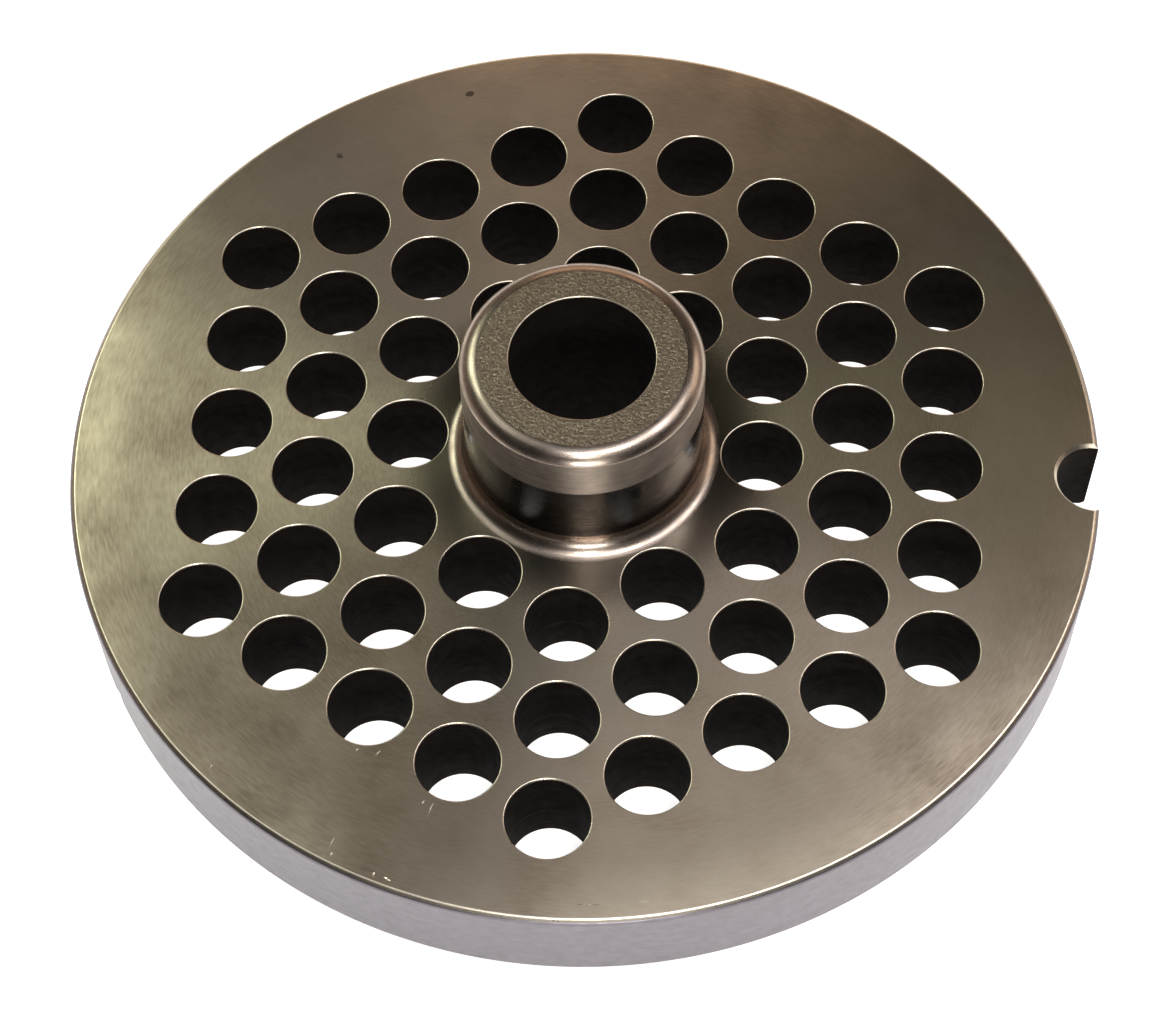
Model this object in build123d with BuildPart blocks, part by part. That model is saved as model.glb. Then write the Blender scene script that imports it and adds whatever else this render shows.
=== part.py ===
from build123d import *

import os
from math import cos, radians, sin

# Perforated plate of a meat grinder: one piece of tool steel, hub side up.
#
# A thick disc is drilled with a hexagonal field of round holes. Its lower face is lapped flat and
# is the cutting face, where the knife shears the meat against the sharp mouths of the holes. The
# upper face carries the hub, bored for the stud of the feed screw. A key in the grinder's head
# sits in the round notch in the rim, so that the plate doesn't turn with the knife.
#
# Origin: on the bore's axis, in the cutting face. +Z runs up the hub, +X to the notch.
# All sizes are in millimetres.

# Disc
plate_diameter = 100.0
plate_thickness = 10.7
rim_edge_break = 0.45

# Hub
hub_diameter = 23.0
overall_height = 25.7
hub_top_round = 1.7
hub_base_fillet = 1.75

# Running bore for the screw's stud
bore_diameter = 13.7

# Holes that the meat is pressed through, on a hexagonal field about the bore
hole_diameter = 7.8
hole_pitch = 10.0
last_ring = 4
first_corner_angle = 30.0
rim_land = 3.0

# Notch for the key, cut through the rim
notch_diameter = 7.0
notch_inset = 0.7
notch_mouth_break = 0.5
notch_mouth_angle = 90.0

plate_radius = plate_diameter / 2
hub_radius = hub_diameter / 2
bore_radius = bore_diameter / 2
hole_radius = hole_diameter / 2
notch_radius = notch_diameter / 2


def ring_centres(ring: int) -> list[Vector]:
    """Centres of the holes on one ring of the hexagonal field, `ring` pitches out at its corners."""
    centres = []
    for side in range(6):
        corner_angle = radians(first_corner_angle + 60 * side)
        side_angle = corner_angle + radians(120)
        corner = Vector(cos(corner_angle), sin(corner_angle)) * ring * hole_pitch
        step = Vector(cos(side_angle), sin(side_angle)) * hole_pitch
        centres += [corner + step * place for place in range(ring)]
    return centres


def field_centres() -> list[Vector]:
    """Centres of every hole that clears the hub's base fillet and leaves the rim its solid land."""
    nearest = hub_radius + hub_base_fillet + hole_radius
    farthest = plate_radius - rim_land - hole_radius
    rings = [ring_centres(ring) for ring in range(1, last_ring + 1)]
    return [centre for ring in rings for centre in ring if nearest <= centre.length <= farthest]


with BuildPart() as grinder_plate:
    # Half section of the turned blank, from the bore's wall out to the rim
    with BuildSketch(Plane.XZ) as half_section:
        with BuildLine():
            Polyline(
                (bore_radius, 0),
                (plate_radius, 0),
                (plate_radius, plate_thickness),
                (hub_radius, plate_thickness),
                (hub_radius, overall_height),
                (bore_radius, overall_height),
                close=True,
            )
        make_face()
        hub_base = half_section.vertices().sort_by_distance((hub_radius, plate_thickness))[0]
        fillet(hub_base, hub_base_fillet)
        hub_top = half_section.vertices().sort_by_distance((hub_radius, overall_height))[0]
        fillet(hub_top, hub_top_round)
        chamfer(half_section.vertices().group_by(Axis.X)[-1], rim_edge_break)
    revolve(axis=Axis.Z)

    # Field of holes
    with Locations(*field_centres()):
        Hole(radius=hole_radius)

    # Key notch in the rim, with its mouth broken on the hub's side
    with Locations((plate_radius - notch_inset, 0, plate_thickness)):
        CounterSinkHole(
            radius=notch_radius,
            counter_sink_radius=notch_radius + notch_mouth_break,
            counter_sink_angle=notch_mouth_angle,
        )

grinder_plate.part.label = "grinder_plate"

os.makedirs("parts", exist_ok=True)
export_step(grinder_plate.part, "parts/grinder_plate.step")
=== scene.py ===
import logging
import math
import random
from dataclasses import dataclass, field
from enum import Enum
from typing import Callable, Optional, Sequence, Union

import bpy
from mathutils import Matrix, Vector
from mathutils.geometry import delaunay_2d_cdt


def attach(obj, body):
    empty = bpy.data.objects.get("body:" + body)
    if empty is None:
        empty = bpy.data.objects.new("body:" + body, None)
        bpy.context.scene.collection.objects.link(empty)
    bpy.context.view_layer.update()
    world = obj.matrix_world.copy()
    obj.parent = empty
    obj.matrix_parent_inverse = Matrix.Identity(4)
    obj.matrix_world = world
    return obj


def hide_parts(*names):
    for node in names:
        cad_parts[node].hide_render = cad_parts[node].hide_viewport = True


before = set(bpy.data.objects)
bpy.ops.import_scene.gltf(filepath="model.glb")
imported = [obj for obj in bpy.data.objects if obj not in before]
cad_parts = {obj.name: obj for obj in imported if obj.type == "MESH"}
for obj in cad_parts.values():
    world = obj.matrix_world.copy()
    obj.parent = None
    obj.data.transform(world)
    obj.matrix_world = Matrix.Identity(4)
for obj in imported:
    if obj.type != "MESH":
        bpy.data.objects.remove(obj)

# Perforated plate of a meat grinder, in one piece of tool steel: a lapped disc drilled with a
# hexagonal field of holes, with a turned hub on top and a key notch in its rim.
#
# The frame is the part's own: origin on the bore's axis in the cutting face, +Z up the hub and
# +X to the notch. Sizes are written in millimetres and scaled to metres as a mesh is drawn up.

log = logging.getLogger("grinder_plate")

MM = 0.001
TAU = 2 * math.pi
HAIR = 1e-6  # a length that counts as none
CLOSE = 1e-7  # points of a face that are nearer than this are one
SAME_SPOT = 1e4  # points that round to the same spot at this many to a millimetre are one
DIAGONAL = 0.7071  # each part of a normal that leans 45 degrees

Socket = bpy.types.NodeSocket
Setting = Union[Socket, float, int, str, bool, Vector, tuple, list]
Point = tuple[float, float, float]
Flat = tuple[float, float]
Span = tuple[float, float]  # from one value to another
Lie = Callable[[Flat], tuple[float, Point]]  # a face's height and normal at a spot


# --- colour and nodes


def linear(colour: str) -> tuple[float, float, float, float]:
    """Turns an sRGB hex colour to the linear values that Blender works in.

    Args:
        colour: the colour as "#RRGGBB".

    Returns:
        Linear red, green and blue with full alpha.
    """
    parts = [int(colour[i : i + 2], 16) / 255 for i in (1, 3, 5)]
    lit = [p / 12.92 if p <= 0.04045 else ((p + 0.055) / 1.055) ** 2.4 for p in parts]
    return (lit[0], lit[1], lit[2], 1.0)


def add_node(tree: bpy.types.NodeTree, kind: str,
             inputs: Optional[dict[Union[int, str], Setting]] = None,
             **settings: Setting) -> bpy.types.Node:
    """Adds one node with its settings, input values and links.

    Args:
        tree: the node tree that the node goes into.
        kind: the node's type name, such as "ShaderNodeMath".
        inputs: input sockets by name or index, each given a value or a socket to link from.
        settings: properties of the node itself, such as operation="ADD".

    Returns:
        The new node.
    """
    node = tree.nodes.new(kind)
    for name, value in settings.items():
        setattr(node, name, value)
    for name, value in (inputs or {}).items():
        if isinstance(value, bpy.types.NodeSocket):
            tree.links.new(value, node.inputs[name])
        else:
            node.inputs[name].default_value = value
    return node


def round_axis(tree: bpy.types.NodeTree) -> tuple[Socket, Socket, Socket]:
    """Splits the place on a surface into its parts about the plate's axis.

    Args:
        tree: the material's node tree.

    Returns:
        The place without its height, its distance from the axis, and its height.
    """
    place = add_node(tree, "ShaderNodeTexCoord").outputs["Object"]
    parts = add_node(tree, "ShaderNodeSeparateXYZ", {0: place}).outputs
    level = add_node(tree, "ShaderNodeCombineXYZ", {0: parts["X"], 1: parts["Y"]}).outputs[0]
    out = add_node(tree, "ShaderNodeVectorMath", {0: level}, operation="LENGTH")
    return level, out.outputs["Value"], parts["Z"]


# --- finishes

# Noise wanders about 0.5. These are the stretches of it that a finish reads.
STAIN_SPAN: Span = (0.35, 0.7)
MARKS_SPAN: Span = (0.3, 0.7)
BOTH_SPAN: Span = (0.6, 1.4)  # of marks and grain added up

LEAST_ROUGH = 0.02
CALM_START = 0.7  # share of the calm reach where the surface starts to roughen
CALM_SHARE = 0.6  # share of its roughness that a calm surface keeps
ACROSS_MARKS = 0.25  # a quarter turn from the marks' run, since grooves spread light across it


class Zone(Enum):
    """The plate's surfaces, each with a finish of its own."""

    FACE = 0
    CUTTING_FACE = 1
    RIM = 2
    EDGE = 3
    HOLE = 4
    ROUND = 5
    WALL = 6
    BAND = 7
    HUB_END = 8
    SCRATCH = 9
    PIT = 10


@dataclass(frozen=True)
class TurnedMarks:
    """Marks that run round the plate's axis, as lapping, grinding and turning leave them.

    pitch: spacing of the marks across their run, in millimetres.
    run: how far round the plate one mark carries on, in radians.
    detail: how many finer rounds of marks lie among them.
    """

    pitch: float
    run: float
    detail: float = 2.0

    def draw(self, tree: bpy.types.NodeTree, along_axis: bool) -> Socket:
        """Draws the marks as a value that wanders about 0.5.

        Args:
            tree: the material's node tree.
            along_axis: spaces the marks up the axis, for a wall, and not out from it.

        Returns:
            The noise value.
        """
        level, out, height = round_axis(tree)
        across = {0: height if along_axis else out, 1: 1 / (self.pitch * MM)}
        step = add_node(tree, "ShaderNodeMath", across, operation="MULTIPLY").outputs[0]
        heading = add_node(tree, "ShaderNodeVectorMath", {0: level}, operation="NORMALIZE")
        along = {0: heading.outputs[0], "Scale": 1 / self.run}
        slow = add_node(tree, "ShaderNodeVectorMath", along, operation="SCALE").outputs[0]
        rise = add_node(tree, "ShaderNodeCombineXYZ", {2: step}).outputs[0]
        where = add_node(tree, "ShaderNodeVectorMath", {0: slow, 1: rise}, operation="ADD")
        noise = {"Vector": where.outputs[0], "Scale": 1.0, "Detail": self.detail}
        return add_node(tree, "ShaderNodeTexNoise", noise).outputs[0]


@dataclass(frozen=True)
class Grain:
    """Grain with no direction, such as stains, scale or blasting, of one size in millimetres."""

    size: float
    detail: float = 3.0

    def draw(self, tree: bpy.types.NodeTree) -> Socket:
        """Draws the grain as a value that wanders about 0.5.

        Args:
            tree: the material's node tree.

        Returns:
            The noise value.
        """
        place = add_node(tree, "ShaderNodeTexCoord").outputs["Object"]
        noise = {"Vector": place, "Scale": 1 / (self.size * MM), "Detail": self.detail}
        return add_node(tree, "ShaderNodeTexNoise", noise).outputs[0]


@dataclass(frozen=True)
class Coat:
    """A material in the making: its node tree and shader, and its marks' and grain's values."""

    tree: bpy.types.NodeTree
    shader: bpy.types.Node
    marks: Socket
    grain: Socket


@dataclass(frozen=True)
class Finish:
    """One steel surface: its two tones, its roughness, its marks and its grain.

    name: the material's name.
    tone: the surface's colour, and dark_tone what it drops to where it is stained.
    rough: mean roughness, and rough_swing how far the marks and the grain move it.
    brushed: how far the gloss is drawn out by the marks, from 0 to 1.
    relief: depth of the marks, and pitting depth of the grain, in millimetres.
    stain_share, marks_share: how far the grain and the marks darken it.
    on_wall: whether it stands upright, with its marks spaced up the axis.
    calm_reach: radius inside which the surface is smoother, since no lap reaches the hub's foot.
    """

    name: str
    tone: str
    dark_tone: str
    rough: float
    marks: TurnedMarks
    grain: Grain
    rough_swing: float = 0.1
    brushed: float = 0.0
    relief: float = 0.0
    pitting: float = 0.0
    stain_share: float = 0.5
    marks_share: float = 0.3
    metal: float = 1.0
    specular: float = 0.5
    on_wall: bool = False
    calm_reach: float = 0.0

    def make(self) -> bpy.types.Material:
        """Builds the material.

        Returns:
            The new material.
        """
        material = bpy.data.materials.new(self.name)
        material.use_nodes = True
        tree = material.node_tree
        shader = tree.nodes["Principled BSDF"]
        shader.inputs["Metallic"].default_value = self.metal
        shader.inputs["Specular IOR Level"].default_value = self.specular
        coat = Coat(tree, shader, self.marks.draw(tree, self.on_wall), self.grain.draw(tree))
        self._tint(coat)
        self._gloss(coat)
        self._relief(coat)
        return material

    def _tint(self, coat: Coat) -> None:
        """Colours the surface between its two tones, by the grain and the marks.

        Args:
            coat: the material in the making.
        """
        shares: list[Socket] = []
        for value, (start, end), most in (
            (coat.grain, STAIN_SPAN, self.stain_share),
            (coat.marks, MARKS_SPAN, self.marks_share),
        ):
            span = {"Value": value, "From Min": start, "From Max": end, "To Max": most}
            shares.append(add_node(coat.tree, "ShaderNodeMapRange", span).outputs[0])
        share = add_node(coat.tree, "ShaderNodeMath", dict(enumerate(shares)), operation="ADD")
        tones = {"Factor": share.outputs[0], "A": linear(self.tone), "B": linear(self.dark_tone)}
        colour = add_node(coat.tree, "ShaderNodeMix", tones, data_type="RGBA").outputs[2]
        coat.tree.links.new(colour, coat.shader.inputs["Base Color"])

    def _gloss(self, coat: Coat) -> None:
        """Roughens the surface unevenly and draws its gloss out across the marks.

        Args:
            coat: the material in the making.
        """
        tree, inputs = coat.tree, coat.shader.inputs
        summed = add_node(tree, "ShaderNodeMath", {0: coat.marks, 1: coat.grain}, operation="ADD")
        span = {"Value": summed.outputs[0], "From Min": BOTH_SPAN[0], "From Max": BOTH_SPAN[1]}
        span["To Min"] = max(self.rough - self.rough_swing, LEAST_ROUGH)
        span["To Max"] = self.rough + self.rough_swing
        rough = add_node(tree, "ShaderNodeMapRange", span).outputs[0]
        if self.calm_reach:
            reach = self.calm_reach * MM
            span = {"Value": round_axis(tree)[1], "From Min": CALM_START * reach}
            span |= {"From Max": reach, "To Min": CALM_SHARE}
            share = add_node(tree, "ShaderNodeMapRange", span, interpolation_type="SMOOTHSTEP")
            both = {0: rough, 1: share.outputs[0]}
            rough = add_node(tree, "ShaderNodeMath", both, operation="MULTIPLY").outputs[0]
        tree.links.new(rough, inputs["Roughness"])
        if self.brushed:
            inputs["Anisotropic"].default_value = self.brushed
            inputs["Anisotropic Rotation"].default_value = ACROSS_MARKS
            tangent = add_node(tree, "ShaderNodeTangent", direction_type="RADIAL", axis="Z")
            tree.links.new(tangent.outputs[0], inputs["Tangent"])

    def _relief(self, coat: Coat) -> None:
        """Raises the marks and the grain, where the surface has any depth to them.

        Args:
            coat: the material in the making.
        """
        normal: Optional[Socket] = None
        for height, depth in ((coat.marks, self.relief), (coat.grain, self.pitting)):
            if depth:
                inputs: dict[Union[int, str], Setting] = {"Height": height, "Distance": depth * MM}
                if normal is not None:
                    inputs["Normal"] = normal
                normal = add_node(coat.tree, "ShaderNodeBump", inputs).outputs[0]
        if normal is not None:
            coat.tree.links.new(normal, coat.shader.inputs["Normal"])


FINISHES: dict[Zone, Finish] = {
    # Hub-side face of hardened tool steel, lapped on a turntable: a satin sheen drawn out across
    # the fine rings of its marks, with the brown cast of an oiled and much washed plate, and
    # smoother at the hub's foot. Lapping marks are some 0.02 mm apart; they are drawn 0.22 mm
    # apart to show.
    Zone.FACE: Finish(
        name="lapped_tool_steel", tone="#B5A794", dark_tone="#857868", rough=0.335,
        rough_swing=0.05, marks=TurnedMarks(pitch=0.22, run=0.03, detail=4.0),
        grain=Grain(size=7.0, detail=5.0), brushed=0.7, relief=0.0015, marks_share=0.45,
        calm_reach=20.0, stain_share=0.65,
    ),
    # Cutting face of the same steel, reground after use: finer rings and a cleaner, brighter grey.
    # Its marks, some 0.02 mm apart too, are drawn 0.2 mm apart.
    Zone.CUTTING_FACE: Finish(
        name="reground_cutting_face_steel", tone="#BDB7AC", dark_tone="#9C958A", rough=0.3,
        rough_swing=0.06, marks=TurnedMarks(pitch=0.2, run=0.5), grain=Grain(size=12.0),
        brushed=0.7, relief=0.0012,
    ),
    # Rim wall, cylindrically ground: an even, cool grey with faint lines that run round it. The
    # grinding lines are some 0.03 mm apart; they are drawn 0.25 mm apart to show.
    Zone.RIM: Finish(
        name="cylindrically_ground_rim_steel", tone="#7E797E", dark_tone="#6E696D", rough=0.38,
        rough_swing=0.05, marks=TurnedMarks(pitch=0.25, run=0.05),
        grain=Grain(size=0.9, detail=4.0), brushed=0.4, relief=0.001, stain_share=0.35,
        marks_share=0.2, on_wall=True,
    ),
    # Edges broken by hand with a stone: narrow, clean and bright, their marks with no clear run.
    Zone.EDGE: Finish(
        name="stoned_edge_steel", tone="#DACEBA", dark_tone="#B4A692", rough=0.3, rough_swing=0.05,
        marks=TurnedMarks(pitch=0.1, run=0.1), grain=Grain(size=0.5),
    ),
    # Drilled and reamed holes under a crust of baked-on fat and scale that no cloth reaches, its
    # black-brown tone also painted shade for the depth of the holes. The crust is no metal:
    # black-brown and dull, it swallows light, with a mottle some 1.2 mm across.
    Zone.HOLE: Finish(
        name="scaled_hole_steel_painted_shade", tone="#1A130F", dark_tone="#0D0907", rough=0.85,
        rough_swing=0.12, marks=TurnedMarks(pitch=0.3, run=0.4), grain=Grain(size=1.2),
        pitting=0.02, on_wall=True, metal=0.0, specular=0.08,
    ),
    # Rounding and base fillet of the hub, polished with a form tool and emery: close to a mirror,
    # with a warm tone that is a painted reflection of the face around it, and the tool's rings
    # some
    # 0.12 mm apart.
    Zone.ROUND: Finish(
        name="polished_round_steel", tone="#AE9F92", dark_tone="#87776A", rough=0.27,
        rough_swing=0.07, marks=TurnedMarks(pitch=0.12, run=0.8), grain=Grain(size=2.0),
        brushed=0.5, relief=0.002,
    ),
    # Lower wall of the hub, fine turned: a nearly clean mirror whose tone is painted dark, a
    # painted dark reflection of the holes and the face in front of it.
    Zone.WALL: Finish(
        name="fine_turned_hub_wall_painted_dark_reflection", tone="#3C3734", dark_tone="#2A2623", rough=0.26,
        rough_swing=0.06, marks=TurnedMarks(pitch=0.3, run=0.5), grain=Grain(size=1.5),
        on_wall=True,
    ),
    # Upper band of the hub, turned with a coarser feed of some 0.4 mm: its rings spread light up
    # and down, so that a light shows as a streak.
    Zone.BAND: Finish(
        name="coarse_turned_band_steel", tone="#92867A", dark_tone="#63594F", rough=0.5,
        rough_swing=0.06, marks=TurnedMarks(pitch=0.3, run=0.8), grain=Grain(size=2.5),
        brushed=0.95, relief=0.002, on_wall=True,
    ),
    # End face of the hub, faced off and left from the quench: grainy, with a grit of some 0.27 mm.
    Zone.HUB_END: Finish(
        name="grainy_hub_end_steel", tone="#908474", dark_tone="#50473C", rough=0.3,
        rough_swing=0.12, marks=TurnedMarks(pitch=0.4, run=0.3),
        grain=Grain(size=0.27, detail=5.0), pitting=0.11, stain_share=0.7,
    ),
    # Fresh metal at the bottom of a scratch, cut by grit and bone: brighter than the face.
    Zone.SCRATCH: Finish(
        name="scratched_bright_steel", tone="#D8D0C0", dark_tone="#B8AE9C", rough=0.3,
        marks=TurnedMarks(pitch=0.2, run=0.2), grain=Grain(size=0.4),
    ),
    # Rust pit, eaten in where water stood: dull and dark brown, with little metal left to shine.
    Zone.PIT: Finish(
        name="rust_pit", tone="#4A3A2C", dark_tone="#231B15", rough=0.8,
        marks=TurnedMarks(pitch=0.2, run=0.2), grain=Grain(size=0.2), metal=0.2,
    ),
}


# --- drawing up the mesh


@dataclass(frozen=True)
class Corner:
    """A corner of a section: radius and height in millimetres, its rounding, and the zone after.

    round_zone: the rounding's own zone, where it has one.
    """

    out: float
    up: float
    zone: Zone
    rounding: float = 0.0
    round_zone: Optional[Zone] = None


@dataclass(frozen=True)
class Station:
    """One row of a surface: its radius and height, its normal, and the zone up to the next row."""

    out: float
    up: float
    face_out: float
    face_up: float
    zone: Zone


def walk_section(corners: Sequence[Corner], arc_rows: int) -> list[Station]:
    """Walks a section of straight sides and rounded corners, with the solid on its left.

    Args:
        corners: the corners in order; the first and the last only end the walk.
        arc_rows: rows that each rounding is drawn with.

    Returns:
        The stations in order.
    """
    run: list[Station] = []
    spots = [Vector((c.out, c.up)) for c in corners]
    here = spots[0]
    for index, corner in enumerate(corners[:-1]):
        target, after = spots[index + 1], corners[index + 1]
        way = (target - spots[index]).normalized()
        face = Vector((way.y, -way.x))
        bend = 0.0
        if after.rounding:
            bend = way.angle_signed((spots[index + 2] - target).normalized())
        stop = target - way * after.rounding * math.tan(abs(bend) / 2)
        if (stop - here).length > HAIR:
            run.append(Station(here.x, here.y, face.x, face.y, corner.zone))
        if not bend:
            run.append(Station(stop.x, stop.y, face.x, face.y, corner.zone))
            here = stop
            continue
        side = -1.0 if bend > 0 else 1.0
        centre = stop + Vector((-way.y, way.x)) * after.rounding * side
        arm = stop - centre
        for row in range(arc_rows):
            turn = Matrix.Rotation(-bend * row / arc_rows, 2)
            spot, normal = centre + turn @ arm, turn @ face
            zone = after.round_zone or after.zone
            run.append(Station(spot.x, spot.y, normal.x, normal.y, zone))
        here = centre + Matrix.Rotation(-bend, 2) @ arm
    return run


def straight(start: Flat, end: Flat, face: Flat, zone: Zone) -> list[Station]:
    """Draws a straight side as two stations, with one normal all along."""
    return [Station(*start, *face, zone), Station(*end, *face, zone)]


def arc(centre: Flat, reach: float, leans: Span, rows: int, zone: Zone,
        hollow: bool = False) -> list[Station]:
    """Draws a rounding as stations.

    Args:
        centre: the radius and the height at which its centre lies.
        reach: its own radius.
        leans: how far its first and its last normal lean outward from upright, in degrees.
        rows: steps that it is drawn with.
        zone: the surface that it belongs to.
        hollow: whether it is a fillet and not a rounding.

    Returns:
        The stations, both ends included.
    """
    stations: list[Station] = []
    arm = -reach if hollow else reach
    for row in range(rows + 1):
        lean = math.radians(leans[0] + (leans[1] - leans[0]) * row / rows)
        face = (math.sin(lean), math.cos(lean))
        spot = (centre[0] + arm * face[0], centre[1] + arm * face[1])
        stations.append(Station(*spot, *face, zone))
    return stations


def ring(centre: Flat, reach: float, sides: int, start: float = 0.0) -> list[Flat]:
    """Draws a ring of points about a centre, the first one a share of a side on."""
    turns = [TAU * (i + start) / sides for i in range(sides)]
    return [(centre[0] + reach * math.cos(t), centre[1] + reach * math.sin(t)) for t in turns]


def inside(spot: Vector, loop: Sequence[Flat]) -> bool:
    """Tells whether a spot lies inside a loop.

    Args:
        spot: the spot.
        loop: the loop's points in order.

    Returns:
        True where a ray from the spot crosses the loop an odd number of times.
    """
    odd = False
    for (x, y), (u, v) in zip(loop, [*loop[1:], loop[0]]):
        if (y > spot.y) != (v > spot.y) and spot.x < x + (spot.y - y) / (v - y) * (u - x):
            odd = not odd
    return odd


@dataclass
class Draft:
    """A mesh while it is drawn up: shared points, faces, a normal for each corner, and zones."""

    points: list[Point] = field(default_factory=list)
    faces: list[tuple[int, ...]] = field(default_factory=list)
    normals: list[Point] = field(default_factory=list)
    zones: list[Zone] = field(default_factory=list)
    index_of: dict[tuple[int, ...], int] = field(default_factory=dict)

    def point(self, spot: Point) -> int:
        """Gives a point's index, the same one for points at the same spot.

        Args:
            spot: the point in millimetres.

        Returns:
            Its index in the mesh.
        """
        key = tuple(round(part * SAME_SPOT) for part in spot)
        if key not in self.index_of:
            self.index_of[key] = len(self.points)
            self.points.append(tuple(part * MM for part in spot))
        return self.index_of[key]

    def face(self, spots: Sequence[Point], normals: Sequence[Point], zone: Zone) -> None:
        """Adds one face, unless its points fall together.

        Args:
            spots: its corners in millimetres, counter-clockwise from outside.
            normals: a normal for each corner.
            zone: the surface that the face belongs to.
        """
        kept: dict[int, Point] = {}
        for spot, normal in zip(spots, normals):
            kept.setdefault(self.point(spot), normal)
        if len(kept) > 2:
            self.faces.append(tuple(kept))
            self.normals += kept.values()
            self.zones.append(zone)

    def strip(self, rows: Sequence[Sequence[Point]], normals: Sequence[Sequence[Point]],
              zones: Sequence[Zone], closed: bool = True) -> None:
        """Skins rows of points with quads.

        Args:
            rows: rows with as many points each, counter-clockwise, in the order of the walk.
            normals: a normal for each point.
            zones: a zone for each row, used up to the next.
            closed: joins the end of each row to its start.
        """
        count = len(rows[0])
        for row in range(len(rows) - 1):
            for place in range(count if closed else count - 1):
                ahead = (place + 1) % count
                quad = ((row, place), (row, ahead), (row + 1, ahead), (row + 1, place))
                spots, leans = ([part[r][p] for r, p in quad] for part in (rows, normals))
                self.face(spots, leans, zones[row])

    def revolve(self, run: Sequence[Station], centre: Flat, sides: int) -> None:
        """Turns a run of stations about an upright axis.

        Args:
            run: the stations.
            centre: where the axis stands.
            sides: points on each row.
        """
        rows, normals = [], []
        turns = ring((0, 0), 1, sides)
        for s in run:
            rows.append([(centre[0] + s.out * c, centre[1] + s.out * n, s.up) for c, n in turns])
            normals.append([(s.face_out * c, s.face_out * n, s.face_up) for c, n in turns])
        self.strip(rows, normals, [s.zone for s in run])

    def flat(self, outer: Sequence[Flat], hollows: Sequence[Sequence[Flat]], lie: Lie,
             upward: bool, zone: Zone, spread: Sequence[Flat] = ()) -> None:
        """Fills a nearly flat face with triangles.

        Args:
            outer: its outline, counter-clockwise.
            hollows: closed loops inside it that stay open.
            lie: gives the face's height and normal at a spot.
            upward: whether it faces up.
            zone: the surface that it belongs to.
            spread: more points inside the face.
        """
        loops = [outer, *hollows]
        spots: list[Flat] = []
        owner: list[int] = []
        edges: list[tuple[int, int]] = []
        for number, loop in enumerate(loops):
            start = len(spots)
            spots += loop
            owner += [number] * len(loop)
            edges += [(start + i, start + (i + 1) % len(loop)) for i in range(len(loop))]
        spots += spread
        owner += [-1] * len(spread)
        flat_spots = [Vector(spot) for spot in spots]
        _, _, triangles, source, _, _ = delaunay_2d_cdt(flat_spots, edges, [], 0, CLOSE)
        for triangle in triangles:
            corners = [source[i][0] for i in triangle]
            a, b, c = (Vector(spots[i]) for i in corners)
            number = owner[corners[0]]
            if number >= 0 and all(owner[i] == number for i in corners):
                if inside((a + b + c) / 3, loops[number]) != (number == 0):
                    continue
            if ((b - a).cross(c - a) > 0) != upward:
                corners.reverse()
            ups, normals = zip(*(lie(spots[i]) for i in corners))
            self.face([(*spots[i], up) for i, up in zip(corners, ups)], normals, zone)

    def build(self, name: str) -> bpy.types.Object:
        """Makes the mesh and its object, and dresses each zone in its finish.

        Args:
            name: the object's name.

        Returns:
            The new object, linked to the scene.
        """
        mesh = bpy.data.meshes.new(name)
        mesh.from_pydata(self.points, [], self.faces)
        used = sorted(set(self.zones), key=lambda zone: zone.value)
        finishes = list(dict.fromkeys(FINISHES[zone] for zone in used))
        for finish in finishes:
            mesh.materials.append(finish.make())
        slot_of = {zone: finishes.index(FINISHES[zone]) for zone in used}
        mesh.polygons.foreach_set("material_index", [slot_of[zone] for zone in self.zones])
        mesh.polygons.foreach_set("use_smooth", [True] * len(self.faces))
        mesh.normals_split_custom_set(self.normals)
        mesh.update()
        thing = bpy.data.objects.new(name, mesh)
        bpy.context.scene.collection.objects.link(thing)
        return thing


# --- the plate's sub-assemblies


@dataclass
class HoleField:
    """The hexagonal field of drilled holes about the hub.

    nearest, farthest: radii that the holes keep between. first_corner: in degrees from +X.
    """

    diameter: float = 7.8
    pitch: float = 10.0
    last_ring: int = 4
    first_corner: float = 30.0
    nearest: float = 13.25
    farthest: float = 47.0
    mouth_break: float = 0.15
    cutting_break: float = 0.1
    mouth_rows: int = 4
    wall_rows: int = 3
    sides: int = 72

    @property
    def radius(self) -> float:
        """Radius of a hole."""
        return self.diameter / 2

    def centres(self) -> list[Flat]:
        """Finds the holes' centres.

        Returns:
            Each centre that clears the hub's fillet and leaves the rim its land.
        """
        found: list[Flat] = []
        for number in range(1, self.last_ring + 1):
            for side in range(6):
                corner = math.radians(self.first_corner + 60 * side)
                along = corner + math.radians(120)
                for place in range(number):
                    x = self.pitch * (number * math.cos(corner) + place * math.cos(along))
                    y = self.pitch * (number * math.sin(corner) + place * math.sin(along))
                    reach = math.hypot(x, y)
                    if self.nearest + self.radius <= reach <= self.farthest - self.radius:
                        found.append((x, y))
        return found

    def walls(self, draft: Draft, thickness: float) -> None:
        """Draws the holes' walls with their broken mouths.

        Args:
            draft: the mesh that they go into.
            thickness: the disc's thickness.
        """
        top, low = self.mouth_break, self.cutting_break
        mouth = (self.radius + top, thickness - top)
        run = arc(mouth, top, (0, -90), self.mouth_rows, Zone.EDGE)[:-1]
        for row in range(self.wall_rows + 1):
            level = mouth[1] + (low - mouth[1]) * row / self.wall_rows
            run.append(Station(self.radius, level, -1, 0, Zone.HOLE))
        slant = (-DIAGONAL, -DIAGONAL)
        foot = straight((self.radius, low), (self.radius + low, 0), slant, Zone.EDGE)
        for centre in self.centres():
            draft.revolve(run, centre, self.sides)
            draft.revolve(foot, centre, self.sides)


@dataclass
class KeyNotch:
    """The round notch in the rim for the grinder's key."""

    diameter: float = 7.0
    axis_out: float = 49.3
    mouth_break: float = 0.3
    steps: int = 40

    @property
    def radius(self) -> float:
        """Radius of the notch."""
        return self.diameter / 2


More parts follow.
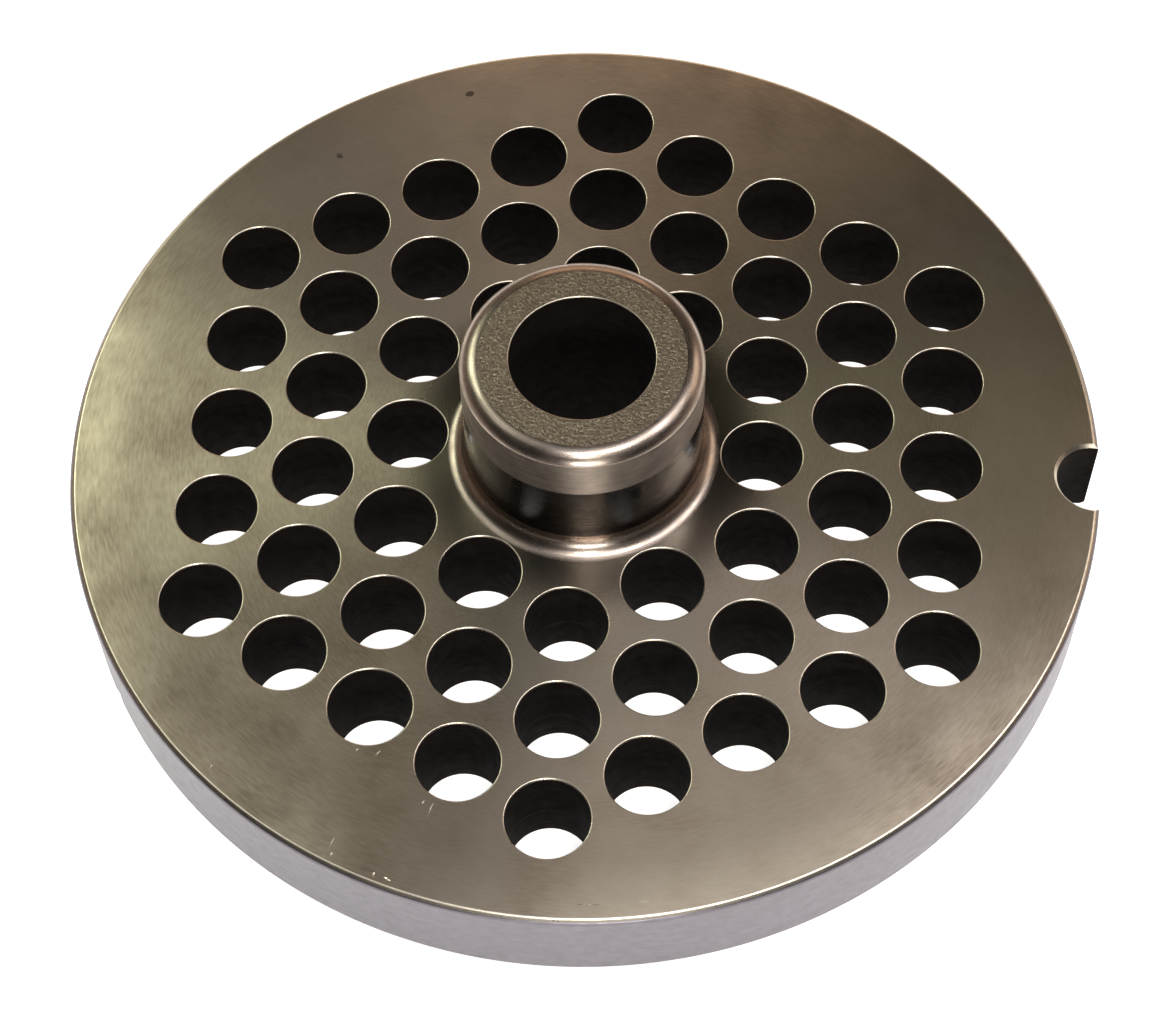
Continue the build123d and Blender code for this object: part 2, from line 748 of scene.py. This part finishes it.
@dataclass
class Dent:
    """A pit or scratch in the hub-side face: an uneven oval that drops to a floor.

    x, y: its middle. length, width: its size. heading: its direction in degrees.
    floor_share: size of the floor against the outline. wobble: how uneven its outline is.
    """

    x: float
    y: float
    length: float
    width: float
    heading: float
    depth: float
    zone: Zone = Zone.SCRATCH
    sides: int = 14
    floor_share: float = 0.45
    wobble: Span = (0.82, 1.12)

    def loops(self, dice: random.Random) -> tuple[list[Flat], list[Flat]]:
        """Draws the dent's outline and the outline of its floor.

        Args:
            dice: the source of its unevenness.

        Returns:
            The outline in the face, and the one of the floor, both counter-clockwise.
        """
        turn = math.radians(self.heading)
        uneven = [dice.uniform(*self.wobble) for _ in range(self.sides)]
        outline, floor = [], []
        for loop, scale in ((outline, 1.0), (floor, self.floor_share)):
            for (along, aside), wobble in zip(ring((0, 0), 1, self.sides), uneven):
                u = self.length / 2 * along * wobble * scale
                v = self.width / 2 * aside * wobble * scale
                x = self.x + u * math.cos(turn) - v * math.sin(turn)
                loop.append((x, self.y + u * math.sin(turn) + v * math.cos(turn)))
        return outline, floor

    def sink(self, draft: Draft, outline: Sequence[Flat], floor: Sequence[Flat],
             lie: Lie) -> None:
        """Draws the dent's sides and floor.

        Args:
            draft: the mesh that it goes into.
            outline: the dent's outline in the face.
            floor: the outline of its floor.
            lie: gives the face's height and normal at a spot.
        """
        level = lie((self.x, self.y))[0]
        top = [(x, y, lie((x, y))[0]) for x, y in outline]
        low = [(x, y, level - self.depth) for x, y in floor]
        slopes = []
        for (x, y), (u, v) in zip(outline, floor):
            run = math.hypot(u - x, v - y)
            lean = Vector((u - x, v - y, 0)).normalized() * self.depth + Vector((0, 0, run))
            slopes.append(tuple(lean.normalized()))
        draft.strip([top, low], [slopes, slopes], [self.zone, self.zone])
        heart = (self.x, self.y, level - self.depth)
        for i in range(self.sides):
            ahead = (i + 1) % self.sides
            draft.face([low[i], low[ahead], heart], [(0, 0, 1)] * 3, self.zone)


# One turning ring of the band: how far up the ring, how deep in it, and how its normal tilts.
BAND_RING = ((0.25, 0.7, 0.3), (0.5, 1.0, 0.0), (0.75, 0.7, -0.3), (1.0, 0.0, 0.0))


@dataclass
class Hub:
    """The turned hub: base fillet, smooth wall, coarser band, rounding, end face and bore.

    shoulder_width: how far the rounding at its top reaches in. shoulder_lean: how far the
    rounding has turned from upright where it meets the band, in degrees.
    """

    diameter: float = 23.0
    height: float = 25.7
    shoulder_width: float = 1.7
    shoulder_lean: float = 62.0
    base_fillet: float = 1.75
    band_foot: float = 20.05
    band_pitch: float = 0.42
    band_depth: float = 0.025
    band_wobble: Span = (0.6, 1.4)
    bore_diameter: float = 13.7
    bore_break: float = 0.12
    fillet_rows: int = 12
    shoulder_rows: int = 14
    mouth_rows: int = 4
    sides: int = 192

    @property
    def shoulder_radius(self) -> float:
        """Radius of the rounding, which stops at a faint corner on the band."""
        return self.shoulder_width / math.sin(math.radians(self.shoulder_lean))

    @property
    def band_top(self) -> float:
        """Height at which the rounding meets the band."""
        drop = 1 - math.cos(math.radians(self.shoulder_lean))
        return self.height - self.shoulder_radius * drop

    @property
    def foot_radius(self) -> float:
        """Radius at which the base fillet runs out into the face."""
        return self.diameter / 2 + self.base_fillet

    @property
    def bore_mouth(self) -> float:
        """Radius of the bore's broken mouth."""
        return self.bore_diameter / 2 + self.bore_break

    def band(self, dice: random.Random) -> list[Station]:
        """Draws the band's turning rings.

        Args:
            dice: the source of their unevenness.

        Returns:
            The stations from the band's foot to its top.
        """
        wall, tall = self.diameter / 2, self.band_top - self.band_foot
        rings = round(tall / self.band_pitch)
        stations = [Station(wall, self.band_foot, 1, 0, Zone.BAND)]
        for number in range(rings):
            deep = self.band_depth * dice.uniform(*self.band_wobble)
            low = self.band_foot + tall * number / rings
            for share, cut, tilt in BAND_RING:
                up = low + tall / rings * share
                stations.append(Station(wall - deep * cut, up, 1, tilt, Zone.BAND))
        return stations

    def build(self, draft: Draft, thickness: float, dice: random.Random) -> None:
        """Draws the hub from its base fillet round to the bore's lower mouth.

        Args:
            draft: the mesh that it goes into.
            thickness: the disc's thickness.
            dice: the source of the band's unevenness.
        """
        wall, foot = self.diameter / 2, thickness + self.base_fillet
        bore, edge, mouth = self.bore_diameter / 2, self.bore_break, self.bore_mouth
        high, inner, slant = self.height, wall - self.shoulder_width, (-DIAGONAL, -DIAGONAL)
        fillet_centre = (self.foot_radius, foot)
        bend, bend_centre = self.shoulder_radius, (inner, high - self.shoulder_radius)
        leans = (self.shoulder_lean, 0)
        for run in (
            arc(fillet_centre, self.base_fillet, (0, 90), self.fillet_rows, Zone.ROUND, True),
            straight((wall, foot), (wall, self.band_foot), (1, 0), Zone.WALL),
            self.band(dice),
            arc(bend_centre, bend, leans, self.shoulder_rows, Zone.ROUND),
            straight((inner, high), (mouth, high), (0, 1), Zone.HUB_END),
            arc((mouth, high - edge), edge, (0, -90), self.mouth_rows, Zone.EDGE),
            straight((bore, high - edge), (bore, edge), (-1, 0), Zone.HOLE),
            straight((bore, edge), (mouth, 0), slant, Zone.EDGE),
        ):
            draft.revolve(run, (0, 0), self.sides)


@dataclass(frozen=True)
class Nick:
    """A knock in the rim's lower edge: where it is in degrees, and its size in millimetres."""

    azimuth: float = -149.3
    half_width: float = 0.8
    height: float = 1.1
    depth: float = 0.3

    def cut(self, turn: float, reach: float, up: float) -> float:
        """Finds how far the rim is knocked in at one spot.

        Args:
            turn: the spot's azimuth in radians.
            reach: its radius.
            up: its height.

        Returns:
            The depth there, zero outside the nick.
        """
        aside = abs((turn - math.radians(self.azimuth) + math.pi) % TAU - math.pi) * reach
        return self.depth * max(0.0, 1 - aside / self.half_width) * max(0.0, 1 - up / self.height)


@dataclass
class Disc:
    """The disc: its two faces and its rim, which the key notch cuts through.

    fall_start, fall_depth: where the hub-side face starts to fall to the rim, and how deep.
    fall_margin, notch_margin: what the points in that fall keep off the rim and the notch.
    """

    diameter: float = 100.0
    thickness: float = 10.7
    edge_break: float = 0.45
    corner_round: float = 0.5
    run_in: float = 2.0
    fall_start: float = 44.2
    fall_depth: float = 0.14
    fall_rings: int = 6
    fall_spots: int = 300
    fall_margin: float = 0.6
    notch_margin: float = 0.8
    arc_rows: int = 4
    rim_steps: int = 720
    notch: KeyNotch = field(default_factory=KeyNotch)
    nick: Nick = field(default_factory=Nick)

    @property
    def fall_width(self) -> float:
        """Width of the part of the hub-side face that lapping has rounded over."""
        return self.diameter / 2 - self.edge_break - self.fall_start

    @property
    def lip_slope(self) -> float:
        """Slope of the hub-side face where it ends at the rim."""
        return 2 * self.fall_depth / self.fall_width

    @property
    def notch_foot(self) -> float:
        """Height at which the notch's mouth break starts."""
        return self.thickness - self.fall_depth - self.notch.mouth_break

    def top_lie(self, spot: Flat) -> tuple[float, Point]:
        """Gives the hub-side face's height and normal, with its fall towards the rim.

        Args:
            spot: a spot in the face.

        Returns:
            The height and the normal there.
        """
        reach = math.hypot(*spot)
        share = max(0.0, (reach - self.fall_start) / self.fall_width)
        lean = Vector((spot[0] / reach, spot[1] / reach, 0)) * self.lip_slope * share
        normal = (lean + Vector((0, 0, 1))).normalized()
        return self.thickness - self.fall_depth * share**2, tuple(normal)

    def low_lie(self, spot: Flat) -> tuple[float, Point]:
        """Gives the cutting face's height and normal, the same all over."""
        return 0.0, (0.0, 0.0, -1.0)

    def fall_points(self, clear_of: Sequence[Dent]) -> list[Flat]:
        """Spreads points over the part of the hub-side face that falls to the rim.

        Args:
            clear_of: dents that the points keep off.

        Returns:
            Points on rings, apart from those near the notch or a dent.
        """
        found: list[Flat] = []
        width = self.fall_width - self.fall_margin
        blocked = [(self.notch.axis_out, 0.0, self.notch.radius + self.notch_margin)]
        blocked += [(d.x, d.y, d.length) for d in clear_of]
        for number in range(self.fall_rings):
            reach = self.fall_start + width * number / (self.fall_rings - 1)
            found += ring((0, 0), reach, self.fall_spots, number % 2 / 2)
        return [
            (x, y) for x, y in found
            if all(math.hypot(x - u, y - v) > clear for u, v, clear in blocked)
        ]

    def stations(self) -> list[Station]:
        """Draws the rim's section from the cutting face up to the hub-side face.

        Returns:
            The stations, with the edge breaks blended into the wall and the face, and with one
            more where the notch's mouth break starts.
        """
        reach, brk, high = self.diameter / 2, self.edge_break, self.thickness
        curve, lip, inner = self.corner_round, high - self.fall_depth, reach - self.run_in
        corners = [
            Corner(inner, 0, Zone.EDGE),
            Corner(reach - brk, 0, Zone.RIM, curve),
            Corner(reach, brk, Zone.RIM, curve),
            Corner(reach, high - brk, Zone.EDGE, curve, Zone.RIM),
            Corner(reach - brk, lip, Zone.FACE, curve, Zone.EDGE),
            Corner(inner, lip + (reach - inner) * self.lip_slope, Zone.FACE),
        ]
        section, foot = walk_section(corners, self.arc_rows)[1:-1], self.notch_foot
        above = next(i for i, s in enumerate(section) if s.up >= foot)
        low, high = section[above - 1], section[above]
        out = low.out + (high.out - low.out) * (foot - low.up) / (high.up - low.up)
        extra = Station(out, foot, low.face_out, low.face_up, low.zone)
        return section[:above] + [extra] + section[above:]

    def row(self, station: Station) -> tuple[list[Flat], list[Flat], list[Point], list[Point]]:
        """Draws the outline at one height: the rim's arc, and the notch's.

        Args:
            station: the rim's station at that height.

        Returns:
            The rim's points, the notch's points, and a normal for each of both.
        """
        reach, axis = station.out, self.notch.axis_out
        above = max(0.0, station.up - self.notch_foot)
        bite = self.notch.radius + above
        face_in, face_up = (DIAGONAL, DIAGONAL) if above > HAIR else (1.0, 0.0)
        meet = (reach**2 - bite**2 + axis**2) / (2 * axis)
        side = math.sqrt(reach**2 - meet**2)
        first = math.atan2(side, meet)
        rim, rim_normals, cut, cut_normals = [], [], [], []
        for i in range(self.rim_steps + 1):
            a = first + (TAU - 2 * first) * i / self.rim_steps
            c, n = math.cos(a), math.sin(a)
            knocked = reach - self.nick.cut(a, reach, station.up)
            rim.append((knocked * c, knocked * n))
            rim_normals.append((station.face_out * c, station.face_out * n, station.face_up))
        half = math.atan2(side, meet - axis)
        for i in range(self.notch.steps + 1):
            a = -half - (TAU - 2 * half) * i / self.notch.steps
            c, n = math.cos(a), math.sin(a)
            cut.append((axis + bite * c, bite * n))
            cut_normals.append((-face_in * c, -face_in * n, face_up))
        cut[0], cut[-1] = rim[-1], rim[0]
        return rim, cut, rim_normals, cut_normals

    def build(self, draft: Draft, hub: Hub, holes: HoleField, dents: Sequence[Dent],
              dice: random.Random) -> None:
        """Draws the rim, the notch and the two faces.

        Args:
            draft: the mesh that they go into.
            hub: the hub, whose foot and bore the faces leave open.
            holes: the holes that the faces leave open.
            dents: pits and scratches in the hub-side face.
            dice: the source of the dents' unevenness.
        """
        stations = self.stations()
        rows = [self.row(s) for s in stations]
        rims, cuts = (
            [[(x, y, s.up) for x, y in row[side]] for row, s in zip(rows, stations)]
            for side in (0, 1)
        )
        for lifted in (rims, cuts):
            lifted[-1] = [(x, y, self.top_lie((x, y))[0]) for x, y, _ in lifted[-1]]
        draft.strip(rims, [row[2] for row in rows], [s.zone for s in stations], closed=False)
        zones = [Zone.HOLE if s.up < self.notch_foot - HAIR else Zone.EDGE for s in stations]
        foot, leans = zones.index(Zone.EDGE), [row[3] for row in rows]
        draft.strip(cuts[: foot + 1], leans, zones, closed=False)
        leans[foot] = leans[foot + 1]
        draft.strip(cuts[foot:], leans[foot:], zones[foot:], closed=False)
        pits = [dent.loops(dice) for dent in dents]
        for top in (True, False):
            rim, cut, *_ = rows[-1] if top else rows[0]
            reach = holes.radius + (holes.mouth_break if top else holes.cutting_break)
            hollows = [ring(centre, reach, holes.sides) for centre in holes.centres()]
            hollows.append(ring((0, 0), hub.foot_radius if top else hub.bore_mouth, hub.sides))
            if top:
                hollows += [outline for outline, _ in pits]
            draft.flat(
                rim + cut[1:-1], hollows, self.top_lie if top else self.low_lie, top,
                Zone.FACE if top else Zone.CUTTING_FACE, self.fall_points(dents) if top else (),
            )
        for dent, (outline, floor) in zip(dents, pits):
            dent.sink(draft, outline, floor, self.top_lie)


@dataclass
class GrinderPlate:
    """The whole plate, one solid piece of steel."""

    disc: Disc = field(default_factory=Disc)
    hub: Hub = field(default_factory=Hub)
    holes: HoleField = field(default_factory=HoleField)
    seed: int = 32
    dents: tuple[Dent, ...] = (
        Dent(-15.6, 42.9, 1.1, 0.7, 20, 0.12, Zone.PIT),
        Dent(-28.3, 33.6, 0.9, 0.6, -30, 0.1, Zone.PIT),
        Dent(-30.95, -37.1, 0.5, 0.26, 70, 0.05),
        Dent(-17.96, -34.5, 0.5, 0.14, 47, 0.03),
        Dent(-16.03, -34.7, 0.8, 0.12, 54, 0.03),
        Dent(-10.62, -39.97, 1.6, 0.12, 74, 0.03),
        Dent(-11.35, -39.3, 0.5, 0.1, 67, 0.02),
        Dent(-19.1, -43.9, 1.4, 0.1, 70, 0.02),
        Dent(-18.9, -44.9, 0.4, 0.26, 66, 0.04),
        Dent(-14.9, -46.55, 0.45, 0.3, 67, 0.05),
        Dent(-13.7, -46.9, 0.7, 0.16, -29, 0.03),
        Dent(4.23, -48.0, 2.3, 0.1, 4, 0.02),
        Dent(9.21, -47.3, 1.1, 0.08, 8, 0.02),
        Dent(15.08, -44.92, 2.0, 0.08, 47, 0.015),
    )

    def build(self) -> bpy.types.Object:
        """Draws the plate up as one closed mesh and puts it in the part's place.

        Returns:
            The plate.
        """
        dice = random.Random(self.seed)
        draft = Draft()
        self.disc.build(draft, self.hub, self.holes, self.dents, dice)
        self.holes.walls(draft, self.disc.thickness)
        self.hub.build(draft, self.disc.thickness, dice)
        plate = draft.build("grinder_plate_steel")
        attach(plate, "root")
        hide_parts("grinder_plate")
        return plate


# --- studio


@dataclass(frozen=True)
class Softbox:
    """A soft rectangular light that looks at the plate.

    azimuth, elevation: its direction from the plate, in degrees from +X and up from the floor.
    width, height, distance: in metres. power: in watts.
    """

    name: str
    azimuth: float
    elevation: float
    width: float
    height: float
    power: float
    colour: str
    distance: float = 1.0

    def place(self) -> None:
        """Hangs the light."""
        name = f"{self.name}_softbox"
        lamp = bpy.data.lights.new(name, "AREA")
        lamp.shape = "RECTANGLE"
        lamp.size, lamp.size_y = self.width, self.height
        lamp.energy = self.power
        lamp.color = linear(self.colour)[:3]
        thing = bpy.data.objects.new(name, lamp)
        bpy.context.scene.collection.objects.link(thing)
        a, e = math.radians(self.azimuth), math.radians(self.elevation)
        way = Vector((math.cos(a) * math.cos(e), math.sin(a) * math.cos(e), math.sin(e)))
        thing.location = way * self.distance
        thing.rotation_euler = way.to_track_quat("Z", "Y").to_euler()


@dataclass
class Studio:
    """Pale floor, soft lights and the camera.

    floor_size, floor_drop, clip_start: in metres. lens, sensor, camera_place: in millimetres.
    front_span: where the front wall turns to the others, by how far a look goes to the back.
    ceiling_span: where the walls turn to the ceiling, by how far a look goes up.
    """

    floor_size: float = 8.0
    floor_drop: float = 0.00005
    floor_colour: str = "#F4F3F1"
    floor_rough: float = 0.9
    floor_specular: float = 0.1
    floor_glow: float = 0.82
    wall_colour: str = "#8A766C"
    front_wall_colour: str = "#2C2926"
    ceiling_colour: str = "#0C0C0C"
    backdrop_colour: str = "#DEDCD9"
    front_span: Span = (-0.6, 0.0)
    ceiling_span: Span = (0.2, 0.6)
    softboxes: tuple[Softbox, ...] = (
        Softbox("front_key", 304, 76, 0.46, 0.26, 3.6, "#FFFFFF"),
        Softbox("front_spot", 277, 60, 0.16, 0.12, 1.2, "#FFFFFF"),
        Softbox("front_low", 278, 22, 0.36, 0.20, 3.5, "#FFFFFF"),
        Softbox("top", 0, 88, 0.50, 0.45, 0.4, "#DCE9FF"),
        Softbox("right_high", 18, 62, 0.40, 0.40, 2.7, "#FBFAFF"),
        Softbox("right", 36, 34, 0.40, 0.40, 0.95, "#FFEEDC"),
        Softbox("left_high", 160, 64, 0.45, 0.40, 0.8, "#FAFFF8"),
        Softbox("left_back", 136, 46, 0.35, 0.35, 1.75, "#F4FFE8"),
        Softbox("back", 92, 30, 0.40, 0.40, 0.6, "#FFDCBC"),
        Softbox("right_streak", 18, 14, 0.14, 0.40, 0.06, "#FFE4DA"),
    )
    lens: float = 85.12
    sensor: float = 36.0
    clip_start: float = 0.01
    camera_place: Point = (14.54, -143.71, 236.62)
    camera_forward: Point = (-0.05324, 0.51554, -0.85521)
    camera_right: Point = (0.99654, 0.08222, -0.01248)

    def lay_floor(self) -> None:
        """Lays the pale floor under the plate."""
        half = self.floor_size / 2
        mesh = bpy.data.meshes.new("studio_floor")
        corners = [(-half, -half), (half, -half), (half, half), (-half, half)]
        mesh.from_pydata([(x, y, -self.floor_drop) for x, y in corners], [], [(0, 1, 2, 3)])
        material = bpy.data.materials.new("matt_white_floor")
        material.use_nodes = True
        for name, value in (
            ("Base Color", linear(self.floor_colour)),
            ("Roughness", self.floor_rough),
            ("Specular IOR Level", self.floor_specular),
            ("Emission Color", linear(self.floor_colour)),
            ("Emission Strength", self.floor_glow),
        ):
            material.node_tree.nodes["Principled BSDF"].inputs[name].default_value = value
        mesh.materials.append(material)
        floor = bpy.data.objects.new("studio_floor", mesh)
        bpy.context.scene.collection.objects.link(floor)

    def paint_walls(self) -> None:
        """Gives the room its walls: warm and dim all round, dark behind the camera and above.

        The camera itself sees a pale backdrop in their place, as in a studio with a sweep.
        """
        world = bpy.data.worlds.new("studio_walls")
        world.use_nodes = True
        tree = world.node_tree
        way = add_node(tree, "ShaderNodeTexCoord").outputs["Generated"]
        parts = add_node(tree, "ShaderNodeSeparateXYZ", {0: way}).outputs
        seen = add_node(tree, "ShaderNodeLightPath").outputs["Is Camera Ray"]
        shares: list[tuple[Socket, str]] = []
        for part, (start, end), tone in (
            (parts["Y"], self.front_span, self.wall_colour),
            (parts["Z"], self.ceiling_span, self.ceiling_colour),
        ):
            span = {"Value": part, "From Min": start, "From Max": end}
            share = add_node(tree, "ShaderNodeMapRange", span, interpolation_type="SMOOTHSTEP")
            shares.append((share.outputs[0], tone))
        colour: Setting = linear(self.front_wall_colour)
        for share, tone in (*shares, (seen, self.backdrop_colour)):
            mix = {"Factor": share, "A": colour, "B": linear(tone)}
            colour = add_node(tree, "ShaderNodeMix", mix, data_type="RGBA").outputs[2]
        tree.links.new(colour, tree.nodes["Background"].inputs["Color"])
        bpy.context.scene.world = world

    def set_camera(self) -> None:
        """Sets the camera up."""
        data = bpy.data.cameras.new("camera")
        data.lens, data.sensor_width = self.lens, self.sensor
        data.clip_start = self.clip_start
        camera = bpy.data.objects.new("camera", data)
        bpy.context.scene.collection.objects.link(camera)
        forward = Vector(self.camera_forward).normalized()
        right = Vector(self.camera_right)
        right = (right - forward * right.dot(forward)).normalized()
        up = right.cross(forward)
        turn = Matrix((right, up, -forward)).transposed().to_4x4()
        camera.matrix_world = Matrix.Translation(Vector(self.camera_place) * MM) @ turn
        bpy.context.scene.camera = camera

    def build(self) -> None:
        """Lays the floor, paints the walls, hangs the lights and sets the camera up."""
        self.lay_floor()
        self.paint_walls()
        for softbox in self.softboxes:
            softbox.place()
        self.set_camera()
        bpy.context.scene.view_settings.view_transform = "Standard"


def main() -> None:
    """Builds the plate and the studio."""
    logging.basicConfig(level=logging.INFO)
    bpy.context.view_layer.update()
    plate = GrinderPlate().build()
    mesh = plate.data
    log.info("%s: %d faces, %d finishes", plate.name, len(mesh.polygons), len(mesh.materials))
    Studio().build()
    log.info("studio: floor, walls, lights and camera")


if __name__ == "__main__":
    main()
